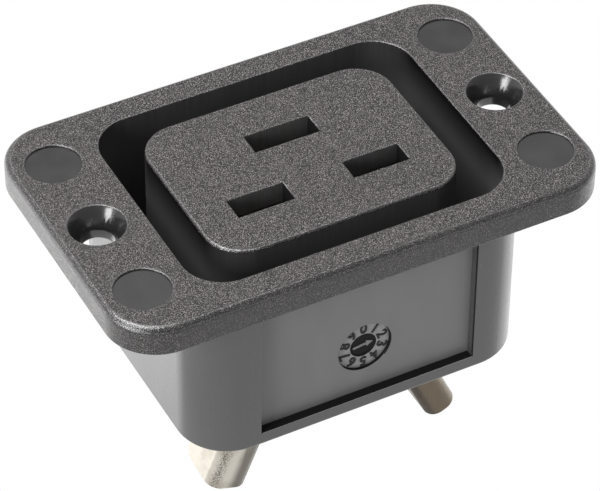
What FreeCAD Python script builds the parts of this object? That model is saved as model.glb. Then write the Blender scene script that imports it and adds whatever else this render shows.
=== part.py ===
import FreeCAD, Part
import os

# Panel outlet with three horizontal slots. All sizes are in millimetres.
# Origin: centre of the panel plane, which is the rear face of the flange.
# +Z points out of the panel towards the plug, +X runs along the long side, the earth slot is on +Y.

# Contact layout of the plug that the outlet takes
CONTACT_SPACING = 13.0
EARTH_OFFSET = 8.0
SLOT_LENGTH = 6.25
EARTH_SLOT_LENGTH = 7.3
SLOT_WIDTH = 2.65
BLADE_THICKNESS = 2.0

# Island and the groove around it
ISLAND_LENGTH = 27.8
ISLAND_WIDTH = 20.8
ISLAND_CORNER_RADIUS = 4.2
ISLAND_EDGE_RADIUS = 0.3
GROOVE_END_GAP = 3.75
GROOVE_SIDE_GAP = 3.0
GROOVE_CORNER_RADIUS = 4.4
GROOVE_DEPTH = 17.0
GROOVE_FLOOR = 1.6

# Body behind the panel
END_WALL = 1.2
SIDE_WALL = 1.75
BODY_CORNER_RADIUS = 5.6
BODY_EDGE_RADIUS = 0.4
SKIRT_WALL = 1.7
SKIRT_END_RIM = 1.1

# Flange
FLANGE_THICKNESS = 3.3
FLANGE_LIP = 1.55
FLANGE_CORNER_RADIUS = 5.5
FLANGE_EDGE_RADIUS = 0.8

# Screw holes and marking pads on the flange ears
SCREW_TO_BODY = 3.65
SCREW_TO_EDGE = 4.5
SCREW_HOLE_DIAMETER = 3.5
COUNTERSINK_DIAMETER = 5.9
COUNTERSINK_DEPTH = 2.1
PAD_DIAMETER = 5.75
PAD_DEPTH = 0.2
PAD_TO_SIDE = 6.4

# Panel recess in both long walls, and the date dial in the near one
RECESS_END_MARGIN = 6.75
RECESS_DEPTH = 0.97
RECESS_BOTTOM_RIM = 1.7
DIAL_DIAMETER = 5.9
DIAL_DEPTH = 0.35
DIAL_HUB_DIAMETER = 2.75
DIAL_HUB_STEP = 0.12
DIAL_ABOVE_RIM = 5.8

# Contact chambers in the island and the cored pockets between them
FRONT_WALL = 2.6
CHAMBER_CLEARANCE = 0.25
CORE_WALL = 1.5

# Rear cover
COVER_THICKNESS = 2.2
COVER_CLEARANCE = 0.12
COVER_COLLAR_HEIGHT = 0.9
COVER_COLLAR_WALL = 1.0
TAIL_CLEARANCE = 0.25
BEAD_RADIUS = 0.5
BEAD_PROUD = 0.35
BEAD_LENGTH = 9.0
BEAD_CLEARANCE = 0.05

# Contacts, folded from sheet
SHEET = 0.8
ROLL_RADIUS = 1.85
ROLL_SWEEP_DEGREES = 235.0
MOUTH_CLEARANCE = 0.3
NECK_BEYOND_COLLAR = 1.0
BARREL_HEIGHT = 6.0
BARREL_BEND_RADIUS = 1.5
BARREL_START = 2.2
BARREL_LENGTH = 12.9
WING_CHAMFER = 0.7

# Tails as they stand in use: the line barrel is spread, the neutral one is nipped and set off to its side
LINE_BARREL_WIDTH = 4.7
LINE_TAIL_OFFSET = 0.0
LINE_SPLAY_DEGREES = 19.0
LINE_TILT_DEGREES = 3.5
NEUTRAL_BARREL_WIDTH = 3.6
NEUTRAL_TAIL_OFFSET = 1.5
NEUTRAL_SPLAY_DEGREES = 24.5
NEUTRAL_TILT_DEGREES = 1.0
EARTH_BARREL_WIDTH = 4.2
EARTH_TAIL_OFFSET = 0.0
EARTH_SPLAY_DEGREES = 0.0
EARTH_TILT_DEGREES = 0.0

# Two points closer than this are one point
SAME_PLACE = 1e-6

# Sizes that follow from the ones above
groove_length = ISLAND_LENGTH + 2 * GROOVE_END_GAP
groove_width = ISLAND_WIDTH + 2 * GROOVE_SIDE_GAP
body_length = groove_length + 2 * END_WALL
body_width = groove_width + 2 * SIDE_WALL
screw_x = body_length / 2 + SCREW_TO_BODY
flange_length = 2 * (screw_x + SCREW_TO_EDGE)
flange_width = body_width + 2 * FLANGE_LIP
pad_y = flange_width / 2 - PAD_TO_SIDE
front_z = FLANGE_THICKNESS
groove_floor_z = front_z - GROOVE_DEPTH
seat_z = groove_floor_z - GROOVE_FLOOR
cover_rear_z = seat_z - COVER_THICKNESS
rear_z = cover_rear_z - SKIRT_END_RIM
live_y = -EARTH_OFFSET / 2
earth_y = EARTH_OFFSET / 2
skirt_length = body_length - 2 * SKIRT_WALL
skirt_width = body_width - 2 * SKIRT_WALL
skirt_corner = BODY_CORNER_RADIUS - SKIRT_WALL
recess_length = body_length - 2 * RECESS_END_MARGIN
recess_floor_y = body_width / 2 - RECESS_DEPTH
recess_rim_z = rear_z + RECESS_BOTTOM_RIM
dial_z = recess_rim_z + DIAL_ABOVE_RIM
chamber_front_z = front_z - FRONT_WALL
base_near = -BLADE_THICKNESS / 2 - SHEET
roll_y = base_near + ROLL_RADIUS
pivot_z = cover_rear_z - COVER_COLLAR_HEIGHT - NECK_BEYOND_COLLAR
barrel_near = -BARREL_HEIGHT / 2

# Each contact: node, centre x, centre y and slot length.
CONTACTS = (
    ("line_contact", -CONTACT_SPACING / 2, live_y, SLOT_LENGTH),
    ("neutral_contact", CONTACT_SPACING / 2, live_y, SLOT_LENGTH),
    ("earth_contact", 0.0, earth_y, EARTH_SLOT_LENGTH),
)

# Each tail, in the same order: offset in x from its contact, barrel width, splay and tilt in degrees.
# Splay swings the tail to -X when positive, tilt swings it to +Y.
TAILS = (
    (LINE_TAIL_OFFSET, LINE_BARREL_WIDTH, LINE_SPLAY_DEGREES, LINE_TILT_DEGREES),
    (NEUTRAL_TAIL_OFFSET, NEUTRAL_BARREL_WIDTH, -NEUTRAL_SPLAY_DEGREES, NEUTRAL_TILT_DEGREES),
    (EARTH_TAIL_OFFSET, EARTH_BARREL_WIDTH, EARTH_SPLAY_DEGREES, EARTH_TILT_DEGREES),
)


def vec(x, y, z):
    return FreeCAD.Vector(x, y, z)


def block(x_low, x_high, y_low, y_high, z_low, z_high):
    """Box between two corners."""
    return Part.makeBox(x_high - x_low, y_high - y_low, z_high - z_low, vec(x_low, y_low, z_low))


def centred_block(x, y, length, width, z_low, z_high):
    """Upright box centred on a point of the panel plane."""
    return block(x - length / 2, x + length / 2, y - width / 2, y + width / 2, z_low, z_high)


def rod(x, y, diameter, z_low, z_high):
    """Upright cylinder."""
    return Part.makeCylinder(diameter / 2, z_high - z_low, vec(x, y, z_low))


def upright_edges(shape):
    """Straight edges that run along Z."""
    found = []
    for edge in shape.Edges:
        ends = edge.BoundBox
        if ends.XLength < SAME_PLACE and ends.YLength < SAME_PLACE:
            found.append(edge)
    return found


def level_edges(shape, z):
    """Edges that lie in the plane at height z."""
    return [e for e in shape.Edges if abs(e.BoundBox.ZMin - z) < SAME_PLACE and abs(e.BoundBox.ZMax - z) < SAME_PLACE]


def rounded_block(length, width, corner, z_low, z_high):
    """Upright block with four round corners, centred on the origin."""
    plain = centred_block(0, 0, length, width, z_low, z_high)
    return plain.makeFillet(corner, upright_edges(plain))


def flange():
    """Flange plate with a rounded front edge."""
    plate = rounded_block(flange_length, flange_width, FLANGE_CORNER_RADIUS, 0, front_z)
    return plate.makeFillet(FLANGE_EDGE_RADIUS, level_edges(plate, front_z))


def body():
    """Outer block of the body, up to the front plane."""
    outer = rounded_block(body_length, body_width, BODY_CORNER_RADIUS, rear_z, front_z)
    return outer.makeFillet(BODY_EDGE_RADIUS, level_edges(outer, rear_z))


def island():
    """Island that stands in the groove, flush with the flange."""
    post = rounded_block(ISLAND_LENGTH, ISLAND_WIDTH, ISLAND_CORNER_RADIUS, groove_floor_z, front_z)
    return post.makeFillet(ISLAND_EDGE_RADIUS, level_edges(post, front_z))


def screw_hole(x):
    """Through hole with a countersink that opens on the front face."""
    cone_low = front_z - COUNTERSINK_DEPTH
    hole = rod(x, 0, SCREW_HOLE_DIAMETER, 0, front_z)
    cone = Part.makeCone(
        SCREW_HOLE_DIAMETER / 2, COUNTERSINK_DIAMETER / 2, COUNTERSINK_DEPTH, vec(x, 0, cone_low)
    )
    return hole.fuse(cone)


def roll_flat(slot_length):
    """Width of the flat base between the two rolled edges of a contact."""
    return slot_length - ROLL_RADIUS - SHEET / 2


def contact_half(slot_length):
    """Half the outer width of a contact across its rolls."""
    return roll_flat(slot_length) / 2 + ROLL_RADIUS


def chamber(x, y, slot_length):
    """Pocket for one contact, open to the rear, with its blade slot through the front wall."""
    half = contact_half(slot_length) + CHAMBER_CLEARANCE
    near = y + base_near - CHAMBER_CLEARANCE
    far = y + roll_y + ROLL_RADIUS + CHAMBER_CLEARANCE
    pocket = block(x - half, x + half, near, far, seat_z, chamber_front_z)
    slot = centred_block(x, y, slot_length, SLOT_WIDTH, chamber_front_z, front_z)
    return pocket.fuse(slot)


def core_pockets():
    """Cored pockets beside the earth chamber, which keep the island walls even."""
    inner = contact_half(EARTH_SLOT_LENGTH) + CHAMBER_CLEARANCE + CORE_WALL
    outer = ISLAND_LENGTH / 2 - CORE_WALL - ISLAND_CORNER_RADIUS / 4
    low = live_y + roll_y + ROLL_RADIUS + CHAMBER_CLEARANCE + CORE_WALL
    high = ISLAND_WIDTH / 2 - CORE_WALL - ISLAND_CORNER_RADIUS / 4
    pockets = []
    for side in (-1, 1):
        ends = sorted((side * inner, side * outer))
        pockets.append(block(ends[0], ends[1], low, high, seat_z, chamber_front_z))
    return pockets


def wall_recess(side):
    """Shallow panel recess in one long wall of the body."""
    ends = sorted((side * recess_floor_y, side * body_width / 2))
    half = recess_length / 2
    return block(-half, half, ends[0], ends[1], recess_rim_z, 0)


def date_dial():
    """Round sunk field with a deeper hub, in the floor of the near recess."""
    inward = vec(0, 1, 0)
    start = vec(0, -recess_floor_y, dial_z)
    field = Part.makeCylinder(DIAL_DIAMETER / 2, DIAL_DEPTH, start, inward)
    hub = Part.makeCylinder(DIAL_HUB_DIAMETER / 2, DIAL_DEPTH + DIAL_HUB_STEP, start, inward)
    return field.fuse(hub)


def snap_beads():
    """Beads on the four skirt walls that hold the rear cover against its seat."""
    z = cover_rear_z - BEAD_CLEARANCE - BEAD_RADIUS
    sink = BEAD_RADIUS - BEAD_PROUD
    beads = []
    for side in (-1, 1):
        end_start = vec(side * (skirt_length / 2 + sink), -BEAD_LENGTH / 2, z)
        side_start = vec(-BEAD_LENGTH / 2, side * (skirt_width / 2 + sink), z)
        beads.append(Part.makeCylinder(BEAD_RADIUS, BEAD_LENGTH, end_start, vec(0, 1, 0)))
        beads.append(Part.makeCylinder(BEAD_RADIUS, BEAD_LENGTH, side_start, vec(1, 0, 0)))
    return beads


def socket_housing():
    """One-piece moulding: flange, body, groove, island, chambers and everything cut into them."""
    shell = flange().fuse(body())
    shell = shell.cut(
        rounded_block(groove_length, groove_width, GROOVE_CORNER_RADIUS, groove_floor_z, front_z)
    )
    shell = shell.fuse(island())
    cuts = [rounded_block(skirt_length, skirt_width, skirt_corner, rear_z, seat_z)]
    for side in (-1, 1):
        cuts.append(screw_hole(side * screw_x))
        cuts.append(wall_recess(side))
        for row in (-1, 1):
            cuts.append(rod(side * screw_x, row * pad_y, PAD_DIAMETER, front_z - PAD_DEPTH, front_z))
    for name, x, y, slot_length in CONTACTS:
        cuts.append(chamber(x, y, slot_length))
    cuts.extend(core_pockets())
    cuts.append(date_dial())
    shell = shell.cut(cuts)
    return shell.fuse(snap_beads()).removeSplitter()


def tail_hole(x, y, barrel_width, extra, z_low, z_high):
    """Upright opening around one contact tail, grown by an extra margin."""
    margin = 2 * (TAIL_CLEARANCE + extra)
    return centred_block(x, y, barrel_width + margin, BARREL_HEIGHT + margin, z_low, z_high)


def rear_cover():
    """Plate in the skirt, with a collared opening for each tail."""
    plate = rounded_block(
        skirt_length - 2 * COVER_CLEARANCE,
        skirt_width - 2 * COVER_CLEARANCE,
        skirt_corner - COVER_CLEARANCE,
        cover_rear_z,
        seat_z,
    )
    collar_z = cover_rear_z - COVER_COLLAR_HEIGHT
    collars = []
    holes = []
    for (name, x, y, slot_length), (offset, barrel_width, splay, tilt) in zip(CONTACTS, TAILS):
        collars.append(tail_hole(x + offset, y, barrel_width, COVER_COLLAR_WALL, collar_z, cover_rear_z))
        holes.append(tail_hole(x + offset, y, barrel_width, 0, collar_z, seat_z))
    return plate.fuse(collars).cut(holes).removeSplitter()


def receptacle(slot_length):
    """Flat base with both long edges rolled over, which grips the blade of the plug."""
    z_low = seat_z
    height = chamber_front_z - MOUTH_CLEARANCE - z_low
    half = roll_flat(slot_length) / 2
    grip = block(-half, half, base_near, base_near + SHEET, z_low, z_low + height)
    for side in (-1, 1):
        axis = vec(side * half, roll_y, z_low)
        outer = Part.makeCylinder(ROLL_RADIUS, height, axis, vec(0, 0, 1), ROLL_SWEEP_DEGREES)
        roll = outer.cut(Part.makeCylinder(ROLL_RADIUS - SHEET, height, axis))
        roll.rotate(axis, vec(0, 0, 1), -90 if side > 0 else 270 - ROLL_SWEEP_DEGREES)
        grip = grip.fuse(roll)
    return grip


def neck(barrel_width):
    """Strip that steps the base down to the floor of the crimp barrel."""
    top_z = seat_z + SHEET
    left = -barrel_width / 2
    outline = [
        vec(left, base_near, top_z),
        vec(left, base_near + SHEET, top_z),
        vec(left, base_near + SHEET, seat_z),
        vec(left, barrel_near + SHEET, pivot_z),
        vec(left, barrel_near, pivot_z),
        vec(left, base_near, seat_z),
    ]
    face = Part.Face(Part.makePolygon(outline + outline[:1]))
    return face.extrude(vec(barrel_width, 0, 0))


def channel(half, near, far, bend, z_low, z_high):
    """Upright bar whose two near edges are rounded."""
    bar = block(-half, half, near, far, z_low, z_high)
    near_edges = [e for e in upright_edges(bar) if abs(e.BoundBox.YMin - near) < SAME_PLACE]
    return bar.makeFillet(bend, near_edges)


def tail(barrel_width, splay, tilt):
    """Open crimp barrel on a short strip, swung about the end of the neck."""
    half = barrel_width / 2
    start_z = pivot_z - BARREL_START
    end_z = start_z - BARREL_LENGTH
    outer = channel(half, barrel_near, barrel_near + BARREL_HEIGHT, BARREL_BEND_RADIUS, end_z, start_z)
    corners = [
        e for e in outer.Edges
        if abs(e.BoundBox.YMin - barrel_near - BARREL_HEIGHT) < SAME_PLACE and e.BoundBox.XLength > half
    ]
    outer = outer.makeChamfer(WING_CHAMFER, corners)
    hollow = channel(
        half - SHEET,
        barrel_near + SHEET,
        barrel_near + BARREL_HEIGHT,
        BARREL_BEND_RADIUS - SHEET,
        end_z,
        start_z,
    )
    strip = block(-half, half, barrel_near, barrel_near + SHEET, start_z, pivot_z)
    elbow = Part.makeCylinder(half, SHEET, vec(0, barrel_near, pivot_z), vec(0, 1, 0))
    swung = outer.cut(hollow).fuse(strip)
    swung.rotate(vec(0, barrel_near, pivot_z), vec(1, 0, 0), tilt)
    swung.rotate(vec(0, 0, pivot_z), vec(0, 1, 0), splay)
    return swung.fuse(elbow)


def contact(x, y, slot_length, offset, barrel_width, splay, tilt):
    """Complete contact, folded from one piece of sheet."""
    lower = neck(barrel_width).fuse(tail(barrel_width, splay, tilt))
    lower.translate(vec(offset, 0, 0))
    piece = receptacle(slot_length).fuse(lower)
    piece.translate(vec(x, y, 0))
    return piece.removeSplitter()


def save(name, shape):
    """Write one piece as a single solid."""
    solid = shape.Solids[0]
    solid.exportStep(os.path.join("parts", name + ".step"))
    print(name, len(shape.Solids), "solid", "valid" if shape.isValid() else "INVALID", round(shape.Volume, 1))


os.makedirs("parts", exist_ok=True)
save("socket_housing", socket_housing())
save("rear_cover", rear_cover())
for (name, x, y, slot_length), tail_sizes in zip(CONTACTS, TAILS):
    save(name, contact(x, y, slot_length, *tail_sizes))
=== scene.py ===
"""Looks of a flanged power outlet for panels.

Moulded plastic, plated contacts, the mould's date dial and the stage, around the frame's solids.
"""

import math
from typing import NamedTuple

import bmesh
import bpy
from bpy.props import FloatProperty, FloatVectorProperty, IntProperty, PointerProperty
from mathutils import Matrix, Vector
from mathutils.bvhtree import BVHTree


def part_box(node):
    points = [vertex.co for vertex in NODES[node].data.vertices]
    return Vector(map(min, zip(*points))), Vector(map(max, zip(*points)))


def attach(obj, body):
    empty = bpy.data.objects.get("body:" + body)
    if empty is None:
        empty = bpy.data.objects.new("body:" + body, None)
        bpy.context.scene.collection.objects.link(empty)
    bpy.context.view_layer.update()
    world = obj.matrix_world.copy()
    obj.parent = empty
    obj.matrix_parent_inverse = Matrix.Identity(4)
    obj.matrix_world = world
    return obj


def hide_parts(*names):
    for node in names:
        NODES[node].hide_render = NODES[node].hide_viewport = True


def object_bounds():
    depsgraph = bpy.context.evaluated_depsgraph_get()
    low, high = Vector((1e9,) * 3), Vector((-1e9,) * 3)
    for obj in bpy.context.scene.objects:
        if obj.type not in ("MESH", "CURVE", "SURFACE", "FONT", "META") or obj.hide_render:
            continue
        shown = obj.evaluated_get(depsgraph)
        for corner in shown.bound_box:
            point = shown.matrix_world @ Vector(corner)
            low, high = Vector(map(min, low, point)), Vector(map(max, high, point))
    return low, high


bl_info = {
    "name": "Panel outlet",
    "version": (1, 0, 0),
    "blender": (4, 5, 0),
    "location": "View3D > Sidebar > Panel outlet",
    "description": "Dresses a power outlet: plastic, plated contacts, date dial and stage",
    "category": "Object",
}

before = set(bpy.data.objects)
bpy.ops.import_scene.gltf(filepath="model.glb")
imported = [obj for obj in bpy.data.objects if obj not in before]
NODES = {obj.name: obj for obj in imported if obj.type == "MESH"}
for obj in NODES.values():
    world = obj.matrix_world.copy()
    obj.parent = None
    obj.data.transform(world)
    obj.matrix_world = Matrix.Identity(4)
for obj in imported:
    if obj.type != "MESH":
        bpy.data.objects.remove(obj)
CAD_BOX = [list(corner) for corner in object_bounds()]
HOUSING_LOW, HOUSING_HIGH = (Vector(corner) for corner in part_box("socket_housing"))
FRONT_Z = HOUSING_HIGH.z

# Making the meshes: lengths in metres, angles in radians.
MERGE_GAP = 1e-6
SLIVER = 1e-7
FLAT_ANGLE = math.radians(0.6)
SHARP_ANGLE = math.radians(35.0)
CREASE_ANGLE = math.radians(50.0)
EDGE_SEGMENTS = 2
EVEN_WEIGHT = 100

# Telling the zones of the moulding apart: lengths in metres.
PLANE_GAP = 0.00002
SUNK = 0.00003
MARGIN = 0.0001
EDGE_REACH = 0.00013
ZONE_MARGIN = 0.0002
LIP_DEPTH = 0.00035
WALL_STEP = 0.0005

# The same by parts of a face's normal.
SIDEWAYS = 0.05
SLANT = 0.3
LEDGE_TILT = 0.5
DIAGONAL = 0.7
SQUARE = 0.9
LEVEL = 0.98
STRAIGHT = 0.99
EDGE_STARTS, EDGE_FULL = 0.99, 0.9
EDGE_FADES, EDGE_ENDS = 0.3, 0.1

# Folds of the crimp barrels: turns of the sheet in degrees, an area in square metres.
FOLD_AREA = 3e-7
FOLD_SLOPE = 0.6
DARK_SHEET_SLOPE = 0.8
CRAZED_TURN = -40.0
CRAZED_SPREAD = 30.0
SHEET_FADES, SHEET_ENDS = 75.0, 85.0
PAINTED_SHADE_SHEET_INDEX = 1

# Date dial: shares of the font, the hub, the arrow and the figures, and the steps of a curve.
CAP_SHARE = 0.7
CURVE_STEPS = 5
ARROW_REACH = 0.82
ARROW_HALF = 0.09
BARB_START = 0.35
BARB_WIDTH = 3.2
ARROW_RISE = 1.5

# Noises of the materials: distances between features in metres, or as shares of the grain's
# pitch, and how they are drawn out.
TINT_SHARE, TINT_STRETCH = 1.3, (1.1, 0.9, 1.0)
COARSE_SHARE = 16.0
FLOW_PITCH, FLOW_STRETCH = 0.0035, (1.0, 1.0, 0.25)
SATIN_PITCH = 0.0003
CLOUD_PITCH = 0.0024
POLISH_PITCH = 0.00016
CONE_PITCH, CONE_STRETCH = 0.0004, (0.3, 0.3, 3.0)
DRAG_PITCH, DRAG_STRETCH = 0.0004, (1.0, 1.0, 0.06)
DIAL_PITCH = 0.0003
MARK_PITCH = 0.0002
STAIN_PITCH = 0.0026
ROLLING_PITCH, ROLLING_STRETCH = 0.00018, (1.0, 1.0, 0.08)
CRACK_PITCH = 0.00013
SHADE_SHEET_PITCH = 0.0008
PLASTIC_RELIEF = 0.00001
SHEET_RELIEF = 0.00002
DEPTH_END = -0.002
NEUTRAL_SHADE_FROM, NEUTRAL_SHADE_TO = 0.003, 0.009
TONE_RANGE = (0.3, 0.7)
ROUGH_RANGE = (0.2, 0.8)

# Stage.
WHITE = (1.0, 1.0, 1.0, 1.0)
PALE = (0.8, 0.8, 0.8, 1.0)
SENSOR_WIDTH = 36.0
CLIP_START = 0.01
ROOM_FROM, ROOM_TO = -0.8, 0.8
SOFT_BOXES = (
    # Name of its power, place, width, height
    ("side_light", (-0.45, -0.14, 0.13), 0.2, 0.24),
    ("top_light", (-0.14, 0.05, 0.38), 0.14, 0.28),
    ("back_light", (0.12, 0.30, 0.52), 0.45, 0.3),
    ("low_light", (-0.16, 0.26, -0.16), 0.24, 0.24),
    ("right_light", (0.24, 0.05, -0.2), 0.2, 0.26),
)


class FoldWear(NamedTuple):
    """Fold of a barrel with painted shade: its side, the turns where the painted shade starts and
    is full, and where the dark sheet of painted shade begins.
    """

    side: float
    start: float
    full: float
    bare: float


FOLD_SHADE = {
    "line_contact": FoldWear(side=1.0, start=-3.0, full=0.7, bare=30.0),
    "neutral_contact": FoldWear(side=-1.0, start=20.0, full=36.0, bare=36.0),
    "earth_contact": FoldWear(side=1.0, start=20.0, full=36.0, bare=36.0),
}


class OutletPlastic(bpy.types.PropertyGroup):
    """Moulded plastic of the housing and the rear cover."""

    colour: FloatVectorProperty(
        name="Plastic", description="Colour of the black plastic", subtype="COLOR", size=4,
        default=(0.045, 0.044, 0.044, 1.0), min=0.0, max=1.0,
    )
    # The grain's light points stand partly for its own tone and partly for painted glints of light
    # on it.
    glint: FloatVectorProperty(
        name="Grain glint", description="Colour of the raised points of the grain",
        subtype="COLOR", size=4, default=(0.062, 0.0565, 0.0555, 1.0), min=0.0, max=1.0,
    )
    cool_glint: FloatVectorProperty(
        name="Cool glint", description="Cooler colour of some of the grain's raised points",
        subtype="COLOR", size=4, default=(0.038, 0.0355, 0.039, 1.0), min=0.0, max=1.0,
    )
    grain_pitch: FloatProperty(
        name="Grain pitch", description="Distance from one grain to the next", unit="LENGTH",
        default=0.000084, min=0.00005, max=0.001, precision=6,
    )
    grain_depth: FloatProperty(
        name="Grain depth", description="Depth of the spark-eroded grain", unit="LENGTH",
        default=0.00005, min=0.0, max=0.0005, precision=6,
    )
    edge_radius: FloatProperty(
        name="Edge radius", description="Radius that breaks each sharp moulded edge",
        unit="LENGTH", default=0.00012, min=0.00002, max=0.0003, precision=6,
    )
    screw_x: FloatProperty(
        name="Screw offset", description="Distance of a screw hole from the middle",
        unit="LENGTH", default=0.0225, min=0.01, max=0.05,
    )
    screw_rim: FloatProperty(
        name="Countersink radius", description="Radius of the countersink at the face",
        unit="LENGTH", default=0.00295, min=0.001, max=0.01,
    )
    pad_y: FloatProperty(
        name="Pad offset", description="Distance of a marking pad from the long middle line",
        unit="LENGTH", default=0.0103, min=0.001, max=0.03,
    )
    pad_radius: FloatProperty(
        name="Pad radius", description="Radius of a marking pad", unit="LENGTH",
        default=0.002875, min=0.001, max=0.01,
    )
    groove_half: FloatVectorProperty(
        name="Groove half size", description="Half the length and width of the plug groove",
        unit="LENGTH", size=2, default=(0.01765, 0.0134),
    )
    groove_corner: FloatProperty(
        name="Groove corner", description="Corner radius of the plug groove", unit="LENGTH",
        default=0.0044, min=0.001, max=0.01,
    )
    slot_field: FloatVectorProperty(
        name="Slot field", description="Half the length and width of the field with the slots",
        unit="LENGTH", size=2, default=(0.0125, 0.0085),
    )
    ledge_z: FloatProperty(
        name="Recess ledge", description="Height of the ledge at the foot of each wall recess",
        unit="LENGTH", default=-0.0169,
    )
    recess_half: FloatProperty(
        name="Recess half length", description="Half the length of a wall recess",
        unit="LENGTH", default=0.0121, min=0.001, max=0.03,
    )
    recess_y: FloatProperty(
        name="Recess floor", description="Distance of a recess floor from the long middle line",
        unit="LENGTH", default=0.01418, min=0.001, max=0.03,
    )


class OutletContacts(bpy.types.PropertyGroup):
    """Plated sheet of the contacts."""

    colour: FloatVectorProperty(
        name="Plating", description="Colour of the dull nickel plating", subtype="COLOR", size=4,
        default=(0.60, 0.565, 0.50, 1.0), min=0.0, max=1.0,
    )
    tarnish: FloatVectorProperty(
        name="Tarnish", description="Colour where the plating is stained", subtype="COLOR",
        size=4, default=(0.24, 0.205, 0.155, 1.0), min=0.0, max=1.0,
    )
    # Darker plating on the neutral contact: painted shade for the contact that lies in the body's
    # shadow.
    aged: FloatVectorProperty(
        name="Painted shade plating", description="Colour of the darker plating on the neutral contact",
        subtype="COLOR", size=4, default=(0.15, 0.12, 0.086, 1.0), min=0.0, max=1.0,
    )
    # Besides the cracks, this colour paints shade along the outer folds of the barrels.
    crazing: FloatVectorProperty(
        name="Crazing", description="Colour in the cracks and the wear along the outer folds",
        subtype="COLOR", size=4, default=(0.06, 0.05, 0.04, 1.0), min=0.0, max=1.0,
    )
    edge_radius: FloatProperty(
        name="Edge radius", description="Radius that breaks each sheared edge", unit="LENGTH",
        default=0.00008, min=0.00002, max=0.0003, precision=6,
    )


class OutletDial(bpy.types.PropertyGroup):
    """Mould date dial in the recess of the long wall."""

    centre: FloatVectorProperty(
        name="Centre", description="Centre of the dial on its sunk floor",
        subtype="TRANSLATION", unit="LENGTH", default=(0.0, -0.01383, -0.0111),
    )
    hub_sink: FloatProperty(
        name="Hub sink", description="How far the hub lies below the ring", unit="LENGTH",
        default=0.00012, min=0.0, max=0.001, precision=6,
    )
    hub_radius: FloatProperty(
        name="Hub radius", description="Radius of the turning hub", unit="LENGTH",
        default=0.001375, min=0.0005, max=0.003, precision=6,
    )
    field_radius: FloatProperty(
        name="Field radius", description="Radius of the whole dial", unit="LENGTH",
        default=0.00295, min=0.001, max=0.006, precision=5,
    )
    ring_radius: FloatProperty(
        name="Figure circle", description="Radius of the circle that the figures stand on",
        unit="LENGTH", default=0.00217, min=0.001, max=0.004, precision=5,
    )
    figure_height: FloatProperty(
        name="Figure height", description="Height of a figure", unit="LENGTH",
        default=0.00115, min=0.0003, max=0.002, precision=5,
    )
    figure_rise: FloatProperty(
        name="Figure rise", description="How far the flank of a figure stands straight up",
        unit="LENGTH", default=0.00006, min=0.00001, max=0.0003, precision=6,
    )
    figure_swell: FloatProperty(
        name="Figure swell", description="How far the flank of a figure slopes out",
        unit="LENGTH", default=0.000045, min=0.0, max=0.0002, precision=6,
    )
    figures: IntProperty(
        name="Figures", description="How many figures stand on the ring, counted from nought",
        default=10, min=1, max=10,
    )
    arrow_turn: FloatProperty(
        name="Arrow turn", description="Turn of the hub's arrow from upright", subtype="ANGLE",
        default=math.radians(-83.0),
    )


class OutletStage(bpy.types.PropertyGroup):
    """Camera, floor and light."""

    camera_place: FloatVectorProperty(
        name="Camera place", description="Where the camera stands", subtype="TRANSLATION",
        unit="LENGTH", default=(-0.121127, -0.228661, 0.226047),
    )
    camera_turn: FloatVectorProperty(
        name="Camera turn", description="How the camera is turned", subtype="EULER",
        default=(0.833894, -0.006159, -0.481753),
    )
    camera_lens: FloatProperty(
        name="Lens", description="Focal length on a 36 mm wide sensor, in millimetres",
        default=204.0, min=10.0,
    )
    floor_drop: FloatProperty(
        name="Floor drop", description="How far the floor lies below the lowest point",
        unit="LENGTH", default=0.30, min=0.0,
    )
    floor_half: FloatProperty(
        name="Floor half size", description="Half the side of the square floor", unit="LENGTH",
        default=4.0, min=0.1,
    )
    room_front: FloatProperty(
        name="Room in front", description="Strength of the room's light from the camera's side",
        default=0.32, min=0.0,
    )
    room_back: FloatProperty(
        name="Room behind", description="Strength of the room's light from behind the object",
        default=0.8, min=0.0,
    )
    side_light: FloatProperty(
        name="Side light", description="Power of the soft box at the left, in watts",
        default=1.5, min=0.0,
    )
    back_light: FloatProperty(
        name="Back light", description="Power of the soft box above and behind, in watts",
        default=0.6, min=0.0,
    )
    top_light: FloatProperty(
        name="Top light", description="Power of the soft box above the left end, in watts",
        default=1.5, min=0.0,
    )
    low_light: FloatProperty(
        name="Low light", description="Power of the soft box low behind the left end, in watts",
        default=0.22, min=0.0,
    )
    right_light: FloatProperty(
        name="Right light", description="Power of the soft box low at the right end, in watts",
        default=0.12, min=0.0,
    )


def ramp(value, start, full):
    """Share of the way from start to full, from 0 to 1."""
    return min(max((value - start) / (full - start), 0.0), 1.0)


def shader_tree(name):
    """New material with an empty tree: the material, tree, surface shader and coordinates."""
    material = bpy.data.materials.new(name)
    material.use_nodes = True
    tree = material.node_tree
    tree.nodes.clear()
    output = tree.nodes.new("ShaderNodeOutputMaterial")
    surface = tree.nodes.new("ShaderNodeBsdfPrincipled")
    tree.links.new(surface.outputs["BSDF"], output.inputs["Surface"])
    place = tree.nodes.new("ShaderNodeTexCoord").outputs["Object"]
    return material, tree, surface, place


def noise(tree, place, pitch, detail=2.0, roughness=0.5):
    """Value of a noise whose features are about one pitch apart."""
    texture = tree.nodes.new("ShaderNodeTexNoise")
    texture.inputs["Scale"].default_value = 1.0 / pitch
    texture.inputs["Detail"].default_value = detail
    texture.inputs["Roughness"].default_value = roughness
    tree.links.new(place, texture.inputs["Vector"])
    return texture.outputs["Fac"]


def stretched(tree, place, scale):
    """Coordinates drawn out along an axis, for brushed marks."""
    mapping = tree.nodes.new("ShaderNodeMapping")
    mapping.inputs["Scale"].default_value = scale
    tree.links.new(place, mapping.inputs["Vector"])
    return mapping.outputs["Vector"]


def along(tree, place, axis):
    """Coordinate along one axis."""
    axes = tree.nodes.new("ShaderNodeSeparateXYZ")
    tree.links.new(place, axes.inputs["Vector"])
    return axes.outputs[axis]


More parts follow.
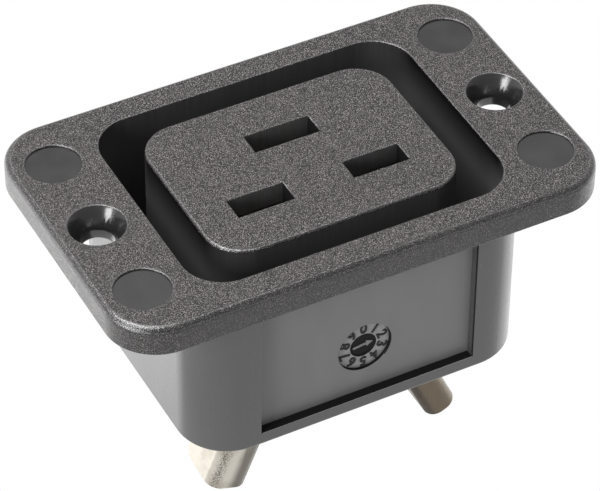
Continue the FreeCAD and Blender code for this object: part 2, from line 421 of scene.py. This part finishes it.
def spread(tree, value, low, high, to_low=0.0, to_high=1.0):
    """Value remapped from one range to another, with a soft start and end."""
    remap = tree.nodes.new("ShaderNodeMapRange")
    remap.interpolation_type = "SMOOTHSTEP"
    remap.inputs["From Min"].default_value = low
    remap.inputs["From Max"].default_value = high
    remap.inputs["To Min"].default_value = to_low
    remap.inputs["To Max"].default_value = to_high
    tree.links.new(value, remap.inputs["Value"])
    return remap.outputs["Result"]


def blended(tree, factor, first, second):
    """Colour between two colours. Each may be a colour or an output."""
    mix = tree.nodes.new("ShaderNodeMix")
    mix.data_type = "RGBA"
    tree.links.new(factor, mix.inputs["Factor"])
    sockets = [s for s in mix.inputs if s.type == "RGBA"]
    for socket, value in zip(sockets, (first, second)):
        if isinstance(value, bpy.types.NodeSocket):
            tree.links.new(value, socket)
        else:
            socket.default_value = value
    return next(s for s in mix.outputs if s.type == "RGBA")


def own_value(tree, name):
    """Value that the mesh carries at each point under a name."""
    attribute = tree.nodes.new("ShaderNodeAttribute")
    attribute.attribute_name = name
    return attribute.outputs["Fac"]


def combined(tree, operation, first, second):
    """Result of an operation on two values."""
    step = tree.nodes.new("ShaderNodeMath")
    step.operation = operation
    tree.links.new(first, step.inputs[0])
    tree.links.new(second, step.inputs[1])
    return step.outputs["Value"]


def scaled(tree, value, factor, offset):
    """Value times a factor plus an offset, which may be a number or an output."""
    step = tree.nodes.new("ShaderNodeMath")
    step.operation = "MULTIPLY_ADD"
    tree.links.new(value, step.inputs[0])
    step.inputs[1].default_value = factor
    if isinstance(offset, bpy.types.NodeSocket):
        tree.links.new(offset, step.inputs[2])
    else:
        step.inputs[2].default_value = offset
    return step.outputs["Value"]


def raised(tree, surface, height, strength, distance):
    """Bump from a height on the shader's normal."""
    bump = tree.nodes.new("ShaderNodeBump")
    bump.inputs["Strength"].default_value = strength
    bump.inputs["Distance"].default_value = distance
    tree.links.new(height, bump.inputs["Height"])
    tree.links.new(bump.outputs["Normal"], surface.inputs["Normal"])


def coated(tree, surface, tone, rough):
    """Colour and roughness on the shader."""
    tree.links.new(tone, surface.inputs["Base Color"])
    tree.links.new(rough, surface.inputs["Roughness"])


def shade(colour, factor):
    """The same colour, lighter or darker."""
    return (colour[0] * factor, colour[1] * factor, colour[2] * factor, 1.0)


def drifting(tree, value, colour, low, high):
    """Colour that drifts from one lightness to another with a noise."""
    return blended(tree, spread(tree, value, *TONE_RANGE), shade(colour, low), shade(colour, high))


def grained_plastic(name, plastic, strength, relief, roughness, index):
    """Spark-eroded grain of the flange and the island, smoother where it runs round an edge. Its
    light specks are partly its own tone and partly painted glints, its sparks are painted glints,
    and round an edge its tone is darkened with painted shade.
    """
    material, tree, surface, place = shader_tree(name)
    fine = noise(tree, place, plastic.grain_pitch, 0.5, 0.5)
    shifted = stretched(tree, place, TINT_STRETCH)
    tint = noise(tree, shifted, plastic.grain_pitch * TINT_SHARE, 0.0)
    coarse = noise(tree, place, plastic.grain_pitch * COARSE_SHARE)
    # Light specks: partly the grain's own tone, partly painted glints.
    glint = blended(tree, spread(tree, tint, 0.45, 0.55), plastic.glint, plastic.cool_glint)
    speck = blended(tree, spread(tree, fine, 0.46, 0.56), shade(plastic.colour, 0.03), glint)
    # Sparse bright sparks: painted glints.
    painted_sparks = blended(tree, spread(tree, fine, 0.60, 0.68), speck, shade(plastic.glint, 5.5))
    plain = spread(tree, coarse, 0.3, 0.75, 1.0 - strength, 1.2 - strength)
    mixed = blended(tree, plain, painted_sparks, plastic.colour)
    # Round an edge the tone darkens towards a tenth of the plastic's colour: painted shade for the
    # dark line beneath the edge's highlight. The lower roughness and relief there are the smoother
    # moulded edge.
    edge = own_value(tree, "edge")
    tone = blended(tree, scaled(tree, edge, 0.5, 0.0), mixed, shade(plastic.colour, 0.1))
    rough = spread(tree, fine, *TONE_RANGE, roughness + 0.16, roughness)
    coated(tree, surface, tone, scaled(tree, edge, -0.1, rough))
    surface.inputs["IOR"].default_value = index
    height = combined(tree, "MULTIPLY", fine, scaled(tree, edge, -0.1, 1.0))
    raised(tree, surface, height, 0.8 * relief, plastic.grain_depth)
    return material


def satin_plastic(name, plastic, lightness, roughness, index):
    """Smooth satin face of the body's walls, with faint flow marks."""
    material, tree, surface, place = shader_tree(name)
    flow = noise(tree, stretched(tree, place, FLOW_STRETCH), FLOW_PITCH, 3.0)
    fine = noise(tree, place, SATIN_PITCH)
    tone = drifting(tree, flow, plastic.colour, lightness, lightness * 1.1)
    coated(tree, surface, tone, spread(tree, flow, *ROUGH_RANGE, roughness, roughness + 0.06))
    surface.inputs["IOR"].default_value = index
    raised(tree, surface, fine, 0.015, PLASTIC_RELIEF)
    return material


def polished_plastic(plastic):
    """Smooth face that the flush marking pins leave."""
    material, tree, surface, place = shader_tree("polished_plastic")
    cloud = noise(tree, place, CLOUD_PITCH, 3.0)
    fine = noise(tree, place, POLISH_PITCH)
    tone = drifting(tree, cloud, plastic.colour, 0.28, 0.42)
    coated(tree, surface, tone, spread(tree, cloud, *ROUGH_RANGE, 0.22, 0.28))
    surface.inputs["IOR"].default_value = 1.5
    raised(tree, surface, fine, 0.1, PLASTIC_RELIEF)
    return material


def countersunk_plastic(plastic):
    """Glossy cone of a screw hole."""
    material, tree, surface, place = shader_tree("countersunk_plastic")
    turning = noise(tree, stretched(tree, place, CONE_STRETCH), CONE_PITCH)
    tone = drifting(tree, turning, plastic.colour, 0.3, 0.45)
    coated(tree, surface, tone, spread(tree, turning, *ROUGH_RANGE, 0.18, 0.24))
    surface.inputs["IOR"].default_value = 1.8
    raised(tree, surface, turning, 0.08, PLASTIC_RELIEF)
    return material


def deep_plastic(name, plastic, short_wall_painted_tone, long_wall_painted_tone, painted_depth_tone):
    """Draw-marked inner walls in painted light and shade: short and long walls each get a
    lightness at the mouth, and a third lightness takes over further in.
    """
    material, tree, surface, place = shader_tree(name)
    drag = noise(tree, stretched(tree, place, DRAG_STRETCH), DRAG_PITCH)
    # Further in the tone turns to the third lightness; in the groove this paints light onto walls
    # deep in shade.
    depth = spread(tree, along(tree, place, "Z"), DEPTH_END, FRONT_Z, 1.0, 0.0)
    # Short and long walls get their own lightness; in the groove the short walls are darkened
    # where the side light reaches them: painted shade.
    facing = own_value(tree, "facing")
    plain, marked = (
        blended(
            tree, facing,
            shade(plastic.colour, short_wall_painted_tone * lift), shade(plastic.colour, long_wall_painted_tone * lift),
        )
        for lift in (1.0, 1.2)
    )
    front = blended(tree, spread(tree, drag, *TONE_RANGE), plain, marked)
    tone = blended(tree, depth, front, shade(plastic.colour, painted_depth_tone))
    coated(tree, surface, tone, spread(tree, drag, *ROUGH_RANGE, 0.55, 0.65))
    surface.inputs["IOR"].default_value = 1.15
    raised(tree, surface, drag, 0.05, PLASTIC_RELIEF)
    return material


def dial_plastic(name, plastic, lightness, index):
    """Turned face of the date dial's ring or hub, in a copy of the plastic's colour: lighter on
    the ring as painted sheen, darker on the hub and rim as painted shade.
    """
    material, tree, surface, place = shader_tree(name)
    turning = noise(tree, place, DIAL_PITCH)
    tone = drifting(tree, turning, plastic.colour, lightness, lightness * 1.2)
    coated(tree, surface, tone, spread(tree, turning, *ROUGH_RANGE, 0.3, 0.4))
    surface.inputs["IOR"].default_value = index
    raised(tree, surface, turning, 0.1, PLASTIC_RELIEF)
    return material


def dial_mark(name, colour, roughness):
    """Raised marks of the dial, a little mottled, in a copy of the plastic's colour: darker on the
    figures as painted shade, lighter on the arrow as painted light.
    """
    material, tree, surface, place = shader_tree(name)
    mottle = noise(tree, place, MARK_PITCH)
    tone = drifting(tree, mottle, colour, 0.8, 1.2)
    coated(tree, surface, tone, spread(tree, mottle, *ROUGH_RANGE, roughness, roughness + 0.1))
    return material


def plated_sheet(contacts):
    """Dull nickel on rolled sheet, cracked along one fold of a barrel, with painted shade on
    another fold and towards +X over the neutral contact.
    """
    material, tree, surface, place = shader_tree("plated_sheet")
    stain = noise(tree, place, STAIN_PITCH, 4.0, 0.6)
    rolling = noise(tree, stretched(tree, place, ROLLING_STRETCH), ROLLING_PITCH, 3.0)
    crack = noise(tree, place, CRACK_PITCH, 2.0, 0.7)
    stained = spread(tree, stain, 0.45, 0.85, 0.0, 0.6)
    # Painted shade: the plating darkens towards +X, over the neutral contact.
    aged = spread(tree, along(tree, place, "X"), NEUTRAL_SHADE_FROM, NEUTRAL_SHADE_TO)
    # Painted shade: the outer fold darkens towards the crack colour.
    worn = spread(tree, own_value(tree, "worn"), 0.15, 0.9, 0.0, 0.75)
    cracks = spread(tree, crack, 0.42, 0.58)
    cracked = combined(tree, "MULTIPLY", own_value(tree, "crazed"), cracks)
    tone = blended(tree, stained, contacts.colour, contacts.tarnish)
    tone = blended(tree, aged, tone, contacts.aged)
    tone = blended(tree, worn, tone, contacts.crazing)
    tone = blended(tree, cracked, tone, contacts.crazing)
    coated(tree, surface, tone, spread(tree, rolling, *ROUGH_RANGE, 0.3, 0.42))
    surface.inputs["Metallic"].default_value = 1.0
    raised(tree, surface, rolling, 0.12, SHEET_RELIEF)
    return material


def worn_sheet(contacts):
    """Dull brown sheet on the outer folds of the barrels: painted shade."""
    material, tree, surface, place = shader_tree("worn_sheet")
    stain = noise(tree, place, SHADE_SHEET_PITCH, 3.0)
    brown = spread(tree, stain, *TONE_RANGE)
    tone = blended(tree, brown, contacts.crazing, shade(contacts.aged, 0.6))
    coated(tree, surface, tone, spread(tree, stain, *ROUGH_RANGE, 0.5, 0.6))
    surface.inputs["IOR"].default_value = 1.2
    raised(tree, surface, stain, 0.1, SHEET_RELIEF)
    return material


def softened_mesh(node_name, edge_radius):
    """Merged copy of a CAD node with every sharp edge broken by a small radius."""
    shape = bmesh.new()
    shape.from_mesh(NODES[node_name].data)
    bmesh.ops.remove_doubles(shape, verts=shape.verts, dist=MERGE_GAP)
    bmesh.ops.dissolve_limit(
        shape, angle_limit=FLAT_ANGLE, use_dissolve_boundaries=False,
        verts=shape.verts, edges=shape.edges, delimit=set(),
    )
    solid = BVHTree.FromBMesh(shape)
    sharp = [e for e in shape.edges if e.is_convex and e.calc_face_angle(0.0) > SHARP_ANGLE]
    bmesh.ops.bevel(
        shape, geom=sharp, offset=edge_radius, offset_type="OFFSET", affect="EDGES",
        segments=EDGE_SEGMENTS, profile=0.5, material=-1, clamp_overlap=False, loop_slide=True,
    )
    # Where two broken edges meet at a narrow angle, a point can overshoot the solid.
    for vert in shape.verts:
        surface_point, _, _, gap = solid.find_nearest(vert.co)
        if gap > edge_radius:
            vert.co = surface_point
    bmesh.ops.dissolve_degenerate(shape, edges=shape.edges, dist=SLIVER)
    for face in shape.faces:
        face.smooth = True
    for edge in shape.edges:
        edge.smooth = edge.calc_face_angle(0.0) < CREASE_ANGLE
    return shape


def add_piece(name, shape, materials, body="root"):
    """Object at the origin from a bmesh, riding on a body of the frame."""
    mesh = bpy.data.meshes.new(name)
    shape.to_mesh(mesh)
    shape.free()
    for material in materials:
        mesh.materials.append(material)
    piece = bpy.data.objects.new(name, mesh)
    bpy.context.scene.collection.objects.link(piece)
    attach(piece, body)
    return piece


def even_normals(piece):
    """Flat faces stay flat beside the small edge radii."""
    modifier = piece.modifiers.new("even_normals", "WEIGHTED_NORMAL")
    modifier.weight = EVEN_WEIGHT
    modifier.keep_sharp = True


def inside_groove(point, plastic):
    """True within the rounded outline of the plug groove."""
    corner = plastic.groove_corner
    over_x = max(abs(point.x) - plastic.groove_half[0] + corner, 0.0)
    over_y = max(abs(point.y) - plastic.groove_half[1] + corner, 0.0)
    return math.hypot(over_x, over_y) < corner + MARGIN


class OUTLET_OT_housing(bpy.types.Operator):
    """Housing moulding with broken edges and its plastic finishes"""

    bl_idname = "outlet.housing"
    bl_label = "Housing"

    def execute(self, context):
        plastic = context.scene.outlet_plastic
        dial = context.scene.outlet_dial
        finishes = self.finishes(plastic)
        order = list(finishes)
        shape = softened_mesh("socket_housing", plastic.edge_radius)
        for face in shape.faces:
            face.material_index = order.index(self.finish(face, plastic, dial))
        self.mark_points(shape)
        piece = add_piece("housing_moulding", shape, finishes.values())
        even_normals(piece)
        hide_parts("socket_housing")
        return {"FINISHED"}

    @staticmethod
    def finishes(plastic):
        """Materials of the moulding by the names of its finishes."""
        return {
            "grained": grained_plastic(
                "grained_plastic", plastic, strength=1.0, relief=1.0, roughness=0.4, index=1.42
            ),
            "edge": grained_plastic(
                "edge_plastic", plastic, strength=0.95, relief=1.0, roughness=0.18, index=1.95
            ),
            "side": grained_plastic(
                "side_plastic", plastic, strength=0.85, relief=0.9, roughness=0.2, index=1.5
            ),
            "satin": satin_plastic(
                "satin_plastic", plastic, lightness=1.3, roughness=0.24, index=1.72
            ),
            # Recess floors: a much lighter copy of the satin plastic, painted sheen for the light
            # that their smooth floors reflect.
            "recess": satin_plastic(
                "recess_plastic", plastic, lightness=4.7, roughness=0.42, index=1.46
            ),
            "polished": polished_plastic(plastic),
            "countersunk": countersunk_plastic(plastic),
            # Groove walls: painted shade on the short walls and painted light further in.
            "deep": deep_plastic(
                "deep_plastic", plastic, short_wall_painted_tone=0.02, long_wall_painted_tone=1.15, painted_depth_tone=2.1
            ),
            # Long walls of the slots: a lighter copy of the plastic, painted light in their shade.
            "slot": deep_plastic(
                "slot_plastic", plastic, short_wall_painted_tone=1.8, long_wall_painted_tone=1.8, painted_depth_tone=1.8
            ),
            # End walls of the slots: a darker copy, painted shade where the side light falls on
            # them.
            "slot_end": deep_plastic(
                "slot_end_plastic", plastic, short_wall_painted_tone=0.2, long_wall_painted_tone=0.2, painted_depth_tone=0.2
            ),
            # Ledge and the strip at each recess's end: a dark copy of the plastic, painted shade.
            "ledge": deep_plastic(
                "ledge_plastic", plastic, short_wall_painted_tone=0.4, long_wall_painted_tone=0.4, painted_depth_tone=0.4
            ),
            # Ring and hub: lighter and darker copies of the plastic, painted sheen and painted
            # shade.
            "dial_ring": dial_plastic("dial_ring", plastic, lightness=6.5, index=1.5),
            "dial_hub": dial_plastic("dial_hub", plastic, lightness=0.3, index=1.15),
        }

    @staticmethod
    def mark_points(shape):
        """How far a point lies round an edge of the front, and how far its wall is a long one."""
        # The edge value later darkens the grain round an edge with painted shade.
        edge = shape.verts.layers.float.new("edge")
        # The facing value sets the painted light and shade of the groove's and the slots' walls.
        facing = shape.verts.layers.float.new("facing")
        shape.normal_update()
        for vert in shape.verts:
            sideways = vert.normal.xy.length
            if sideways > SIDEWAYS:
                vert[facing] = abs(vert.normal.y) / sideways
            if vert.co.z > 0.0:
                rise = vert.normal.z
                vert[edge] = min(
                    ramp(rise, EDGE_STARTS, EDGE_FULL), ramp(rise, EDGE_ENDS, EDGE_FADES)
                )

    def finish(self, face, plastic, dial):
        """Name of the finish that a face of the moulding has."""
        centre = face.calc_center_median()
        rear = abs(centre.z) < ZONE_MARGIN or centre.z < HOUSING_LOW.z + ZONE_MARGIN
        if rear and face.normal.z < -SLANT:
            return "satin"
        if centre.z > -PLANE_GAP:
            return self.front_finish(face, centre, plastic)
        reach = max(
            math.hypot(v.co.x - dial.centre[0], v.co.z - dial.centre[2]) for v in face.verts
        )
        below_recess = -plastic.recess_y + PLANE_GAP < centre.y < dial.centre[1] + ZONE_MARGIN
        if below_recess and reach < dial.field_radius + ZONE_MARGIN:
            # The ring's flat floor takes the painted sheen; the hub and the dial's rim wall take
            # the painted shade.
            on_ring = face.normal.y < -SQUARE and reach > dial.hub_radius + ZONE_MARGIN
            return "dial_ring" if on_ring else "dial_hub"
        if inside_groove(centre, plastic):
            return self.inner_finish(face, plastic)
        return self.wall_finish(face, centre, plastic)

    def front_finish(self, face, centre, plastic):
        """Finish of a face of the flange, or of the groove and the slots at that height."""
        ear_x = abs(centre.x) - plastic.screw_x
        sunk = centre.z < FRONT_Z - SUNK
        if sunk and math.hypot(ear_x, centre.y) < plastic.screw_rim:
            return "countersunk"
        if sunk and math.hypot(ear_x, abs(centre.y) - plastic.pad_y) < plastic.pad_radius:
            return "polished"
        if inside_groove(centre, plastic) and centre.z < FRONT_Z - LIP_DEPTH:
            return self.inner_finish(face, plastic)
        if abs(face.normal.z) < SLANT:
            return "side"
        return "grained" if face.normal.z > LEVEL else "edge"

    @staticmethod
    def inner_finish(face, plastic):
        """Finish of a face of the groove, or of the slots and the chambers behind them."""
        half_x, half_y = plastic.slot_field
        if all(abs(v.co.x) < half_x and abs(v.co.y) < half_y for v in face.verts):
            return "slot" if abs(face.normal.y) > DIAGONAL else "slot_end"
        return "deep"

    @staticmethod
    def wall_finish(face, centre, plastic):
        """Finish of a face of the body's outer walls and their recesses."""
        along_recess = abs(centre.x) < plastic.recess_half + EDGE_REACH
        in_recess = along_recess and centre.z > plastic.ledge_z - EDGE_REACH
        outer = abs(centre.y) > plastic.recess_y + WALL_STEP and abs(face.normal.y) > STRAIGHT
        if not in_recess or outer or abs(centre.y) < plastic.recess_y - MARGIN:
            return "satin"
        # The rounded strip at each recess's end and the ledge at its foot take the painted shade.
        shade_line = face.normal.x < -SLANT and abs(face.normal.y) > SLANT
        if shade_line or face.normal.z > LEDGE_TILT:
            return "ledge"
        # Recess floors take the painted sheen; their end walls stay satin.
        return "satin" if abs(face.normal.x) > SQUARE else "recess"


class OUTLET_OT_cover(bpy.types.Operator):
    """Rear cover in the same satin plastic"""

    bl_idname = "outlet.cover"
    bl_label = "Rear cover"

    def execute(self, context):
        plastic = context.scene.outlet_plastic
        shape = softened_mesh("rear_cover", plastic.edge_radius)
        satin = satin_plastic(
            "cover_plastic", plastic, lightness=1.3, roughness=0.24, index=1.72
        )
        piece = add_piece("cover_plate", shape, (satin,))
        even_normals(piece)
        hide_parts("rear_cover")
        return {"FINISHED"}


class OUTLET_OT_contacts(bpy.types.Operator):
    """Three plated contacts with crazing and painted shade on the folds of their crimp barrels"""

    bl_idname = "outlet.contacts"
    bl_label = "Contacts"

    def execute(self, context):
        contacts = context.scene.outlet_contacts
        sheets = (plated_sheet(contacts), worn_sheet(contacts))
        for node_name, fold_shade in FOLD_SHADE.items():
            shape = softened_mesh(node_name, contacts.edge_radius)
            self.mark_folds(shape, fold_shade)
            piece = add_piece(node_name.replace("contact", "plated_contact"), shape, sheets)
            even_normals(piece)
            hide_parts(node_name)
        return {"FINISHED"}

    @staticmethod
    def turn(normal):
        """Turn of the sheet about the upright, in degrees from the near side."""
        return math.degrees(math.atan2(normal.x, -normal.y))

    def mark_folds(self, shape, fold_shade):
        """How crazed a barrel is at each point, how much painted shade its outer fold gets, and
        which faces get the dark sheet of painted shade.
        """
        crazed = shape.verts.layers.float.new("crazed")
        worn = shape.verts.layers.float.new("worn")
        shape.normal_update()
        for vert in shape.verts:
            walls = [
                face.normal for face in vert.link_faces
                if face.calc_area() > FOLD_AREA and abs(face.normal.z) < FOLD_SLOPE
            ]
            if walls and vert.co.z < HOUSING_LOW.z:
                turn = self.turn(sum(walls, Vector()))
                vert[crazed] = max(0.0, 1.0 - abs(turn - CRAZED_TURN) / CRAZED_SPREAD)
                turn *= fold_shade.side
                vert[worn] = min(
                    ramp(turn, fold_shade.start, fold_shade.full), ramp(turn, SHEET_ENDS, SHEET_FADES)
                )
        # Faces that turn far enough to the shaded side take the dark sheet: painted shade.
        for face in shape.faces:
            below = face.calc_center_median().z < HOUSING_LOW.z
            bare = fold_shade.bare < self.turn(face.normal) * fold_shade.side < SHEET_ENDS
            if below and bare and abs(face.normal.z) < DARK_SHEET_SLOPE:
                face.material_index = PAINTED_SHADE_SHEET_INDEX


class OUTLET_OT_dial(bpy.types.Operator):
    """Figures round the date dial and the arrow on its hub"""

    bl_idname = "outlet.dial"
    bl_label = "Date dial"

    def execute(self, context):
        dial = context.scene.outlet_dial
        colour = context.scene.outlet_plastic.colour
        upright = Matrix.Translation(dial.centre) @ Matrix.Rotation(math.radians(90.0), 4, "X")
        ring = bmesh.new()
        for index in range(dial.figures):
            turn = Matrix.Rotation(-math.tau * index / dial.figures, 4, "Z")
            lift = Matrix.Translation((0.0, dial.ring_radius, 0.0))
            self.add_figure(ring, str(index), dial, upright @ turn @ lift)
        bmesh.ops.remove_doubles(ring, verts=ring.verts, dist=MERGE_GAP)
        bmesh.ops.dissolve_degenerate(ring, edges=ring.edges, dist=SLIVER)
        for face in ring.faces:
            face.smooth = False
        # Figures in a dark copy of the plastic: painted shade.
        dark = dial_mark("dial_figures", shade(colour, 0.2), roughness=0.6)
        figures = add_piece("dial_figures", ring, (dark,))
        sunk = Matrix.Translation((0.0, dial.hub_sink, 0.0)) @ upright
        # Arrow in a light copy of the plastic: painted light.
        light = dial_mark("dial_arrow", shade(colour, 5.5), roughness=0.4)
        arrow = add_piece("dial_arrow", self.arrow(dial, sunk), (light,))
        return {"FINISHED"}

    @staticmethod
    def add_figure(ring, words, dial, place):
        """One raised figure, centred on its place."""
        size = dial.figure_height / CAP_SHARE
        curve = bpy.data.curves.new("dial_figure", "FONT")
        curve.body = words
        curve.align_x = "CENTER"
        curve.align_y = "CENTER"
        curve.extrude = dial.figure_rise / size
        curve.bevel_depth = dial.figure_swell / size
        curve.bevel_resolution = 0
        curve.resolution_u = CURVE_STEPS
        letter = bpy.data.objects.new("dial_figure", curve)
        bpy.context.scene.collection.objects.link(letter)
        bpy.context.view_layer.update()
        depsgraph = bpy.context.evaluated_depsgraph_get()
        mesh = bpy.data.meshes.new_from_object(letter.evaluated_get(depsgraph))
        mesh.transform(place @ Matrix.Scale(size, 4))
        ring.from_mesh(mesh)
        bpy.data.objects.remove(letter)
        bpy.data.curves.remove(curve)
        bpy.data.meshes.remove(mesh)

    @staticmethod
    def arrow(dial, place):
        """Raised arrow across the hub."""
        reach = dial.hub_radius * ARROW_REACH
        half = dial.hub_radius * ARROW_HALF
        barb = reach * BARB_START
        outline = (
            (-half, -reach), (half, -reach), (half, barb), (half * BARB_WIDTH, barb),
            (0.0, reach), (-half * BARB_WIDTH, barb), (-half, barb),
        )
        shape = bmesh.new()
        face = shape.faces.new([shape.verts.new((x, y, 0.0)) for x, y in outline])
        lifted = bmesh.ops.extrude_face_region(shape, geom=[face])
        top = [v for v in lifted["geom"] if isinstance(v, bmesh.types.BMVert)]
        rise = (0.0, 0.0, dial.figure_rise * ARROW_RISE)
        bmesh.ops.translate(shape, verts=top, vec=rise)
        bmesh.ops.recalc_face_normals(shape, faces=shape.faces)
        turned = place @ Matrix.Rotation(dial.arrow_turn, 4, "Z")
        bmesh.ops.transform(shape, matrix=turned, verts=shape.verts)
        return shape


def seen_white(tree, lit):
    """Shader that is plain white to the eye and in reflections, and the lit one elsewhere."""
    path = tree.nodes.new("ShaderNodeLightPath")
    seen = path.outputs["Is Camera Ray"]
    for ray in ("Is Glossy Ray", "Is Transmission Ray"):
        seen = combined(tree, "MAXIMUM", seen, path.outputs[ray])
    white = tree.nodes.new("ShaderNodeEmission")
    white.inputs["Color"].default_value = WHITE
    white.inputs["Strength"].default_value = 1.0
    mix = tree.nodes.new("ShaderNodeMixShader")
    tree.links.new(seen, mix.inputs["Fac"])
    tree.links.new(lit.outputs[0], mix.inputs[1])
    tree.links.new(white.outputs[0], mix.inputs[2])
    return mix.outputs["Shader"]


class OUTLET_OT_stage(bpy.types.Operator):
    """Camera at the photograph's angle, a pale floor and soft light"""

    bl_idname = "outlet.stage"
    bl_label = "Stage"

    def execute(self, context):
        stage = context.scene.outlet_stage
        context.scene.view_settings.view_transform = "Standard"
        self.camera(context, stage)
        self.floor(context, stage)
        self.room(context, stage)
        for name, place, width, height in SOFT_BOXES:
            self.soft_box(context, name, getattr(stage, name), place, width, height)
        return {"FINISHED"}

    @staticmethod
    def camera(context, stage):
        """Camera that the scene is seen through."""
        data = bpy.data.cameras.new("camera")
        data.lens = stage.camera_lens
        data.sensor_width = SENSOR_WIDTH
        data.sensor_fit = "HORIZONTAL"
        data.clip_start = CLIP_START
        camera = bpy.data.objects.new("camera", data)
        camera.location = stage.camera_place
        camera.rotation_euler = stage.camera_turn
        context.scene.collection.objects.link(camera)
        context.scene.camera = camera

    @staticmethod
    def floor(context, stage):
        """Pale floor below the part."""
        floor_z = CAD_BOX[0][2] - stage.floor_drop
        shape = bmesh.new()
        bmesh.ops.create_grid(shape, x_segments=1, y_segments=1, size=stage.floor_half)
        bmesh.ops.translate(shape, verts=shape.verts, vec=(0.0, 0.0, floor_z))
        mesh = bpy.data.meshes.new("floor")
        shape.to_mesh(mesh)
        shape.free()
        material = bpy.data.materials.new("pale_floor")
        material.use_nodes = True
        tree = material.node_tree
        tree.nodes.clear()
        paint = tree.nodes.new("ShaderNodeBsdfDiffuse")
        paint.inputs["Color"].default_value = PALE
        output = tree.nodes.new("ShaderNodeOutputMaterial")
        tree.links.new(seen_white(tree, paint), output.inputs["Surface"])
        mesh.materials.append(material)
        floor = bpy.data.objects.new("floor", mesh)
        context.scene.collection.objects.link(floor)

    @staticmethod
    def room(context, stage):
        """Light of the room, stronger from behind."""
        world = bpy.data.worlds.new("room")
        world.use_nodes = True
        tree = world.node_tree
        tree.nodes.clear()
        direction = tree.nodes.new("ShaderNodeTexCoord").outputs["Generated"]
        room = tree.nodes.new("ShaderNodeBackground")
        room.inputs["Color"].default_value = WHITE
        backwards = along(tree, direction, "Y")
        level = spread(tree, backwards, ROOM_FROM, ROOM_TO, stage.room_front, stage.room_back)
        tree.links.new(level, room.inputs["Strength"])
        output = tree.nodes.new("ShaderNodeOutputWorld")
        tree.links.new(room.outputs["Background"], output.inputs["Surface"])
        context.scene.world = world

    @staticmethod
    def soft_box(context, name, power, place, width, height):
        """Soft box that faces the part and isn't seen itself."""
        data = bpy.data.lights.new(name, "AREA")
        data.energy = power
        data.shape = "RECTANGLE"
        data.size = width
        data.size_y = height
        lamp = bpy.data.objects.new(name, data)
        lamp.location = place
        lamp.rotation_euler = (-Vector(place)).to_track_quat("-Z", "Y").to_euler()
        lamp.visible_camera = False
        context.scene.collection.objects.link(lamp)


class OUTLET_PT_sidebar(bpy.types.Panel):
    """Steps and settings of the panel outlet"""

    bl_label = "Panel outlet"
    bl_idname = "OUTLET_PT_sidebar"
    bl_space_type = "VIEW_3D"
    bl_region_type = "UI"
    bl_category = "Panel outlet"

    def draw(self, context):
        scene = context.scene
        for operator in OPERATORS:
            self.layout.operator(operator.bl_idname)
        settings = (
            scene.outlet_plastic, scene.outlet_contacts, scene.outlet_dial, scene.outlet_stage,
        )
        for group in settings:
            box = self.layout.box()
            for name in group.__annotations__:
                box.prop(group, name)


GROUPS = (OutletPlastic, OutletContacts, OutletDial, OutletStage)
OPERATORS = (
    OUTLET_OT_housing, OUTLET_OT_cover, OUTLET_OT_contacts, OUTLET_OT_dial, OUTLET_OT_stage,
)
CLASSES = GROUPS + OPERATORS + (OUTLET_PT_sidebar,)


def register():
    for cls in CLASSES:
        bpy.utils.register_class(cls)
    bpy.types.Scene.outlet_plastic = PointerProperty(type=OutletPlastic)
    bpy.types.Scene.outlet_contacts = PointerProperty(type=OutletContacts)
    bpy.types.Scene.outlet_dial = PointerProperty(type=OutletDial)
    bpy.types.Scene.outlet_stage = PointerProperty(type=OutletStage)


def unregister():
    del bpy.types.Scene.outlet_stage
    del bpy.types.Scene.outlet_dial
    del bpy.types.Scene.outlet_contacts
    del bpy.types.Scene.outlet_plastic
    for cls in reversed(CLASSES):
        bpy.utils.unregister_class(cls)


def main():
    register()
    bpy.ops.outlet.stage()
    bpy.ops.outlet.housing()
    bpy.ops.outlet.cover()
    bpy.ops.outlet.contacts()
    bpy.ops.outlet.dial()


if __name__ == "__main__":
    main()
